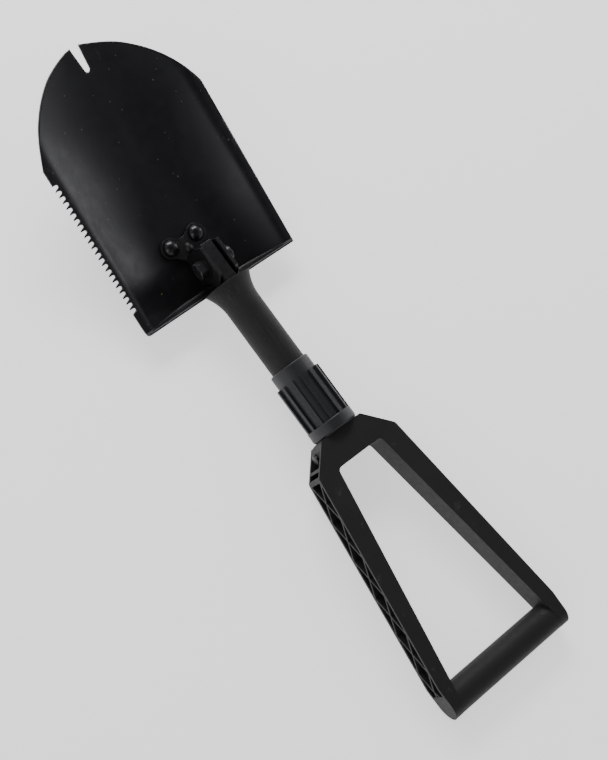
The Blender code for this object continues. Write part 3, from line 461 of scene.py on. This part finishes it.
def wall_share(x, v):
    """0 on the dish's flat bottom, 1 on the margins: a parabola that bends over to the margin."""
    t = min(max((v - DISH_STRAIGHT) / (FLAT_END_V - DISH_STRAIGHT), 0.0), 1.0)
    flat = FLAT_HALF + (FLAT_NOSE - FLAT_HALF) * t * t * (3 - 2 * t)
    wall = WALL_HALF - NOSE_CLOSE * max(v - NOSE_V, 0.0) ** 2
    t = max(abs(x) - flat, 0.0) / (wall - flat)
    if t < 1 - BEND:
        return t * t / (1 - BEND * BEND)
    u = min((t - 1 + BEND) / (2 * BEND), 1.0)
    return ((1 - BEND) ** 2 + 4 * BEND * (1 - BEND) * (u - u * u / 2)) / (1 - BEND * BEND)


def heel_y(x):
    """The heel's outer face, slightly bowed."""
    near, bow = HEEL_BACK
    return HEEL_Y - near - bow * (x / HEEL_HALF) ** 2


def sheet_z(x, y):
    """Height of the blade's inside face above the axis."""
    v = y - HEEL_Y
    return MARGIN_HEEL + MARGIN_RISE * v - dish_depth(v) * (1 - wall_share(x, v))


def lip_top(x):
    """The inside of the lip's top edge, along Y."""
    return heel_y(x) + SHEET * LIP_OVER


def lip_rise(x):
    """Height of the lip above the dish."""
    return dish_depth(0.0) * (1 - wall_share(x, 0.0)) + LIP_UP


def lip_foot(x):
    """Where the turned-up lip meets the dish."""
    return lip_top(x) + lip_rise(x) * LIP_LEAN


def lip_start(x):
    """The lip's top edge on the flattened sheet."""
    return lip_foot(x) - lip_rise(x)


def on_sheet(x, s):
    """A point of the flattened sheet, raised to its place on the blade's inside face."""
    foot = lip_foot(x)
    if s >= foot:
        return Vector((x, s, AXIS_Z + sheet_z(x, s)))
    turn = math.pi / 2 * max((s - lip_start(x)) / (foot - lip_start(x)), 0.0)
    y = lip_top(x) + (foot - lip_top(x)) * (1 - math.cos(turn)) ** LIP_ROUND
    low = sheet_z(x, foot)
    z = low + (MARGIN_HEEL + LIP_UP - low) * (1 - math.sin(turn)) ** LIP_ROUND
    return Vector((x, y, AXIS_Z + z))


def sheet_normal(x, s):
    across = on_sheet(x + PROBE, s) - on_sheet(x - PROBE, s)
    along = on_sheet(x, s + PROBE) - on_sheet(x, max(s - PROBE, lip_start(x)))
    return across.cross(along).normalized()


def tooth_edge():
    """Left edge from the shoulder to the heel: gullets that lean towards the tip."""
    edge = []
    for tooth in range(TEETH):
        y = TEETH_START - tooth * TOOTH_PITCH
        outer = -HEEL_HALF - (HALF_WIDTH - HEEL_HALF) * (y - HEEL_Y) / (SHOULDER_Y - HEEL_Y)
        edge += [(outer + inwards, y + along) for inwards, along in GULLET]
    return edge


def sheet_outline():
    """Outline of the flattened sheet: heel, right side, arched nose with its notch, toothed left side."""
    side, knee, top = [(x, TIP_Y - y) for x, y in (NOSE_SIDE, NOSE_KNEE, NOSE_TOP)]
    mouth_x, end_x = NOTCH_SHIFT
    right = arc_through((HALF_WIDTH, SHOULDER_Y), side, knee, 40)
    right += arc_through(knee, top, (NOTCH_MOUTH, TIP_Y), 20)[1:]
    reach = TIP_Y - SHOULDER_Y
    left = [(NOSE_LEFT_IN * math.sin(math.pi * (TIP_Y - y) / reach) - x, y) for x, y in reversed(right)]
    right[-1] = (mouth_x + NOTCH_MOUTH, TIP_Y)
    left[0] = (mouth_x - NOTCH_MOUTH, TIP_Y)
    notch = arc((end_x, TIP_Y - NOTCH_DEPTH + NOTCH_END), NOTCH_END, 2, -182, 18)
    start = lip_start(CORNER_X)
    wide = HEEL_HALF - CORNER_X
    right_rise, left_rise = CORNER_RISE
    right_corner = arc((0.0, 0.0), 1.0, -90, 0, 8)[1:]
    right_corner = [(CORNER_X + wide * x, start + right_rise * (y + 1)) for x, y in right_corner]
    left_corner = arc((0.0, 0.0), 1.0, 180, 270, 12)[:-1]
    left_corner = [(wide * x - CORNER_X, start + left_rise * (y + 1)) for x, y in left_corner]
    heel = [(x, lip_start(x)) for x in np.linspace(-CORNER_X, CORNER_X, 110)]
    return heel + right_corner + right + notch + left + tooth_edge() + left_corner


def flat_sheet():
    """The flattened sheet in a grid of faces. Its rim is inset, lies lower and carries the paler rim
    colour: rubbed coat and a painted edge highlight.
    """
    bm = bmesh.new()
    face = bm.faces.new([bm.verts.new((x, y, 0.0)) for x, y in sheet_outline()])
    if face.normal.z < 0:
        face.normal_flip()
    wear_and_highlight = bm.verts.layers.float.new("rim")
    for inset, depth, share in zip((0.0, *RIM_INSETS), RIM_DEPTHS, RIM_WEAR_AND_HIGHLIGHT):
        if inset:
            bmesh.ops.inset_region(bm, faces=[face], thickness=inset, use_even_offset=True)
        for vert in face.verts:
            vert.co.z = -depth
            vert[wear_and_highlight] = share
    lowest = min(vert.co.y for vert in bm.verts)
    across = np.arange(-HALF_WIDTH + ACROSS[0], HALF_WIDTH, ACROSS[1])
    along = [*np.arange(lowest + LIP_ALONG[0], HEEL_Y + LIP_REACH, LIP_ALONG[1]),
             *np.arange(HEEL_Y + DISH_ALONG[0], TIP_Y, DISH_ALONG[1])]
    cuts = [((x, 0, 0), (1, 0, 0)) for x in across] + [((0, y, 0), (0, 1, 0)) for y in along]
    for point, normal in cuts:
        geometry = bm.verts[:] + bm.edges[:] + bm.faces[:]
        bmesh.ops.bisect_plane(bm, geom=geometry, plane_co=point, plane_no=normal, dist=WITHIN)
    bm.verts.ensure_lookup_table()
    return bm


def make_blade():
    """The flattened sheet and its underside, laid on the dish and joined along the rim."""
    bm = flat_sheet()
    flat = [(v.co.x, v.co.y, v.co.z) for v in bm.verts]
    border = [edge for edge in bm.edges if edge.is_boundary]
    copied = bmesh.ops.duplicate(bm, geom=bm.verts[:] + bm.edges[:] + bm.faces[:])
    twin = {a: b for a, b in copied["vert_map"].items() if isinstance(a, bmesh.types.BMVert)}
    under = [f for f in copied["geom"] if isinstance(f, bmesh.types.BMFace)]
    bmesh.ops.reverse_faces(bm, faces=under)
    bm.verts.ensure_lookup_table()
    for vert, (x, s, depth) in zip(list(bm.verts)[:len(flat)], flat):
        place, normal = on_sheet(x, s), sheet_normal(x, s)
        top = place + normal * depth
        bottom = place - normal * (SHEET + depth)
        for target, co in ((vert, top), (twin[vert], bottom)):
            target.co = (co.x, min(co.y, TIP_Y), co.z)
    for edge in border:
        a, b = edge.verts
        if edge.link_loops[0].vert is a:
            a, b = b, a
        bm.faces.new((a, b, twin[b], twin[a]))
    bmesh.ops.recalc_face_normals(bm, faces=bm.faces)
    return piece("blade_sheet", bm, "blade", COAT)


# ---------------------------------------------------------------- shaft tube
def make_tube():
    """Round tube whose front end flares to an oval mouth with a rounded rim."""
    def section(y, inward):
        t = min(max((MOUTH_Y - y) / FLARE, 0.0), 1.0)
        share = (1 - t) ** 2
        half = TUBE_R + (MOUTH_HALF - TUBE_R) * share
        high = TUBE_R + (MOUTH_HIGH - TUBE_R) * share
        return y, half - inward, high - inward

    flare_ys = [MOUTH_Y - RIM_R - (FLARE - RIM_R) * i / 26 for i in range(27)]
    body_ys = list(np.linspace(MOUTH_Y - FLARE, TUBE_LOW.y, 20)[1:])
    rim = [(MOUTH_Y - RIM_R * (1 - math.sin(a)), RIM_R * (1 - math.cos(a)))
           for a in np.linspace(0, math.pi / 2, 5)[1:]]
    outer = [section(y, inward) for y, inward in reversed(rim)]
    outer += [section(y, 0.0) for y in flare_ys + body_ys]
    inner = [section(y, TUBE_WALL - inward) for y, inward in reversed(rim)]
    inner += [section(y, TUBE_WALL) for y in flare_ys + body_ys]
    return piece("tube", loop_of_rings(outer + inner[::-1]), "shaft_tube", TUBE)


# ---------------------------------------------------------------- thrust washer
def make_washer():
    """The washer behind the collar, with a thin dark flange that closes the slit to the handle's head:
    painted shade, a dark sheet where only shade falls.
    """
    # painted shade: the flange is a dark sheet filling the slit behind the collar, where there is only
    # shade
    shade_flange = COLLAR_R - SHADE_FLANGE_IN
    behind = WASHER_LOW.y - SLACK
    profile = [(WASHER_BORE, WASHER_HIGH.y), (WASHER_HIGH.x, WASHER_HIGH.y), (WASHER_HIGH.x, behind),
               (shade_flange, behind), (shade_flange, HEAD_Y + SLACK), (WASHER_BORE, HEAD_Y + SLACK)]
    bm = loop_of_rings([(y, radius, radius) for radius, y in profile])
    washer = piece("washer", bm, "thrust_washer", DULL)
    washer.modifiers.new("edge", "BEVEL").width = SLACK
    washer.modifiers.new("shade", "WEIGHTED_NORMAL")


# ---------------------------------------------------------------- the rest of the nodes
def make_kept():
    """Every other node, by finish: node names, material and edge radius."""
    small = 0.00025
    for node in ("hinge_bracket", "pivot_nut"):
        keep(node, BLACKED, 0.0005, 3)
    keep("tongue_bar", BLACKED)
    for node in ("nut_washer", "bolt_washer", "pivot_bolt", "rear_eye"):
        keep(node, BLACKED, small)
    for node in ("rivet_left", "rivet_right"):
        keep(node, DOMES, 0.0)
    keep("backing_plate", COAT)
    for node in ("tension_rod", "front_roll_pin", "rear_roll_pin", "threaded_sleeve"):
        keep(node, STEEL, small)
    for node in ("handle_pin", "pin_clip"):
        keep(node, DULL, small)
    for node in ("pivot_bush", "eye_bush", "collar_nut"):
        keep(node, BRASS, small)
    for node in ("rod_guide_rear", "rod_guide_front"):
        keep(node, GUIDE, small)
    keep("collar_seal", RUBBER, small)
    keep("collar_grip", COLLAR, 0.0004, 3)
    keep("handle_frame", NYLON, 0.0007, 3)


# ---------------------------------------------------------------- floor, light and camera
def resting_plane():
    """Slope along Y and height of the plane that the open shovel lies on, under the blade and the grip."""
    points = np.array([v.co[1:] for n in ("blade", "handle_frame") for v in NODES[n].data.vertices])
    low, high = -0.3, 0.3
    for _ in range(40):
        slope = (low + high) / 2
        if points[np.argmin(points[:, 1] - slope * points[:, 0]), 0] > 0:
            high = slope
        else:
            low = slope
    return low, (points[:, 1] - low * points[:, 0]).min()


def make_floor():
    slope, height = resting_plane()
    square = [(x * FLOOR_HALF, y * FLOOR_HALF) for x, y in ((-1, -1), (1, -1), (1, 1), (-1, 1))]
    mesh = bpy.data.meshes.new("floor")
    mesh.from_pydata([(x, y, height - FLOOR_GAP + slope * y) for x, y in square], [], [(0, 1, 2, 3)])
    s = Shader("floor_paper", 0.9, specular=0.1)
    color = s.mix(s.noise(60.0, 2.0), (0.90, 0.90, 0.90), (0.93, 0.93, 0.93))
    s.main.inputs["Emission Color"].default_value = (1, 1, 1, 1)
    s.main.inputs["Emission Strength"].default_value = FLOOR_GLOW
    mesh.materials.append(s.finish(color))
    floor = bpy.data.objects.new("floor", mesh)
    bpy.context.scene.collection.objects.link(floor)


def softbox(name, place, target, size, radiance):
    """A rectangular light, its power set from how bright its face looks."""
    light = bpy.data.lights.new(name, "AREA")
    light.shape = "RECTANGLE"
    light.size, light.size_y = size
    light.energy = radiance * size[0] * size[1] * math.pi
    obj = bpy.data.objects.new(name, light)
    obj.location = place
    obj.rotation_euler = (Vector(place) - Vector(target)).to_track_quat("Z", "Y").to_euler()
    bpy.context.scene.collection.objects.link(obj)


def make_world():
    """Studio surroundings: white at the horizon, darker and darker overhead."""
    world = bpy.data.worlds.new("studio")
    world.use_nodes = True
    tree = world.node_tree
    direction = tree.nodes.new("ShaderNodeTexCoord").outputs["Generated"]
    split = tree.nodes.new("ShaderNodeSeparateXYZ")
    fade = tree.nodes.new("ShaderNodeMapRange")
    fade.inputs["To Min"].default_value = HORIZON
    fade.inputs["To Max"].default_value = ZENITH
    tree.links.new(direction, split.inputs["Vector"])
    tree.links.new(split.outputs["Z"], fade.inputs["Value"])
    background = tree.nodes["Background"]
    background.inputs["Color"].default_value = SKY_TINT
    tree.links.new(fade.outputs["Result"], background.inputs["Strength"])
    bpy.context.scene.world = world


def make_lights():
    make_world()
    softbox("key", place=(1.70, 0.10, 0.55), target=(0, 0.08, 0), size=(0.5, 1.4), radiance=1.8)
    softbox("side", place=(-1.45, 0.00, 1.15), target=(0, 0.05, 0), size=(0.45, 0.9), radiance=2.2)
    softbox("back", place=(0.42, 1.45, 1.00), target=(0, 0, 0), size=(1.3, 0.5), radiance=10.0)


def make_camera():
    data = bpy.data.cameras.new("camera")
    data.lens = CAMERA_LENS
    data.sensor_width = CAMERA_SENSOR
    camera = bpy.data.objects.new("camera", data)
    camera.location = CAMERA_PLACE
    camera.rotation_euler = [math.radians(a) for a in CAMERA_TURN]
    bpy.context.scene.collection.objects.link(camera)
    bpy.context.scene.camera = camera


make_blade()
make_tube()
make_washer()
make_kept()
make_floor()
make_lights()
make_camera()
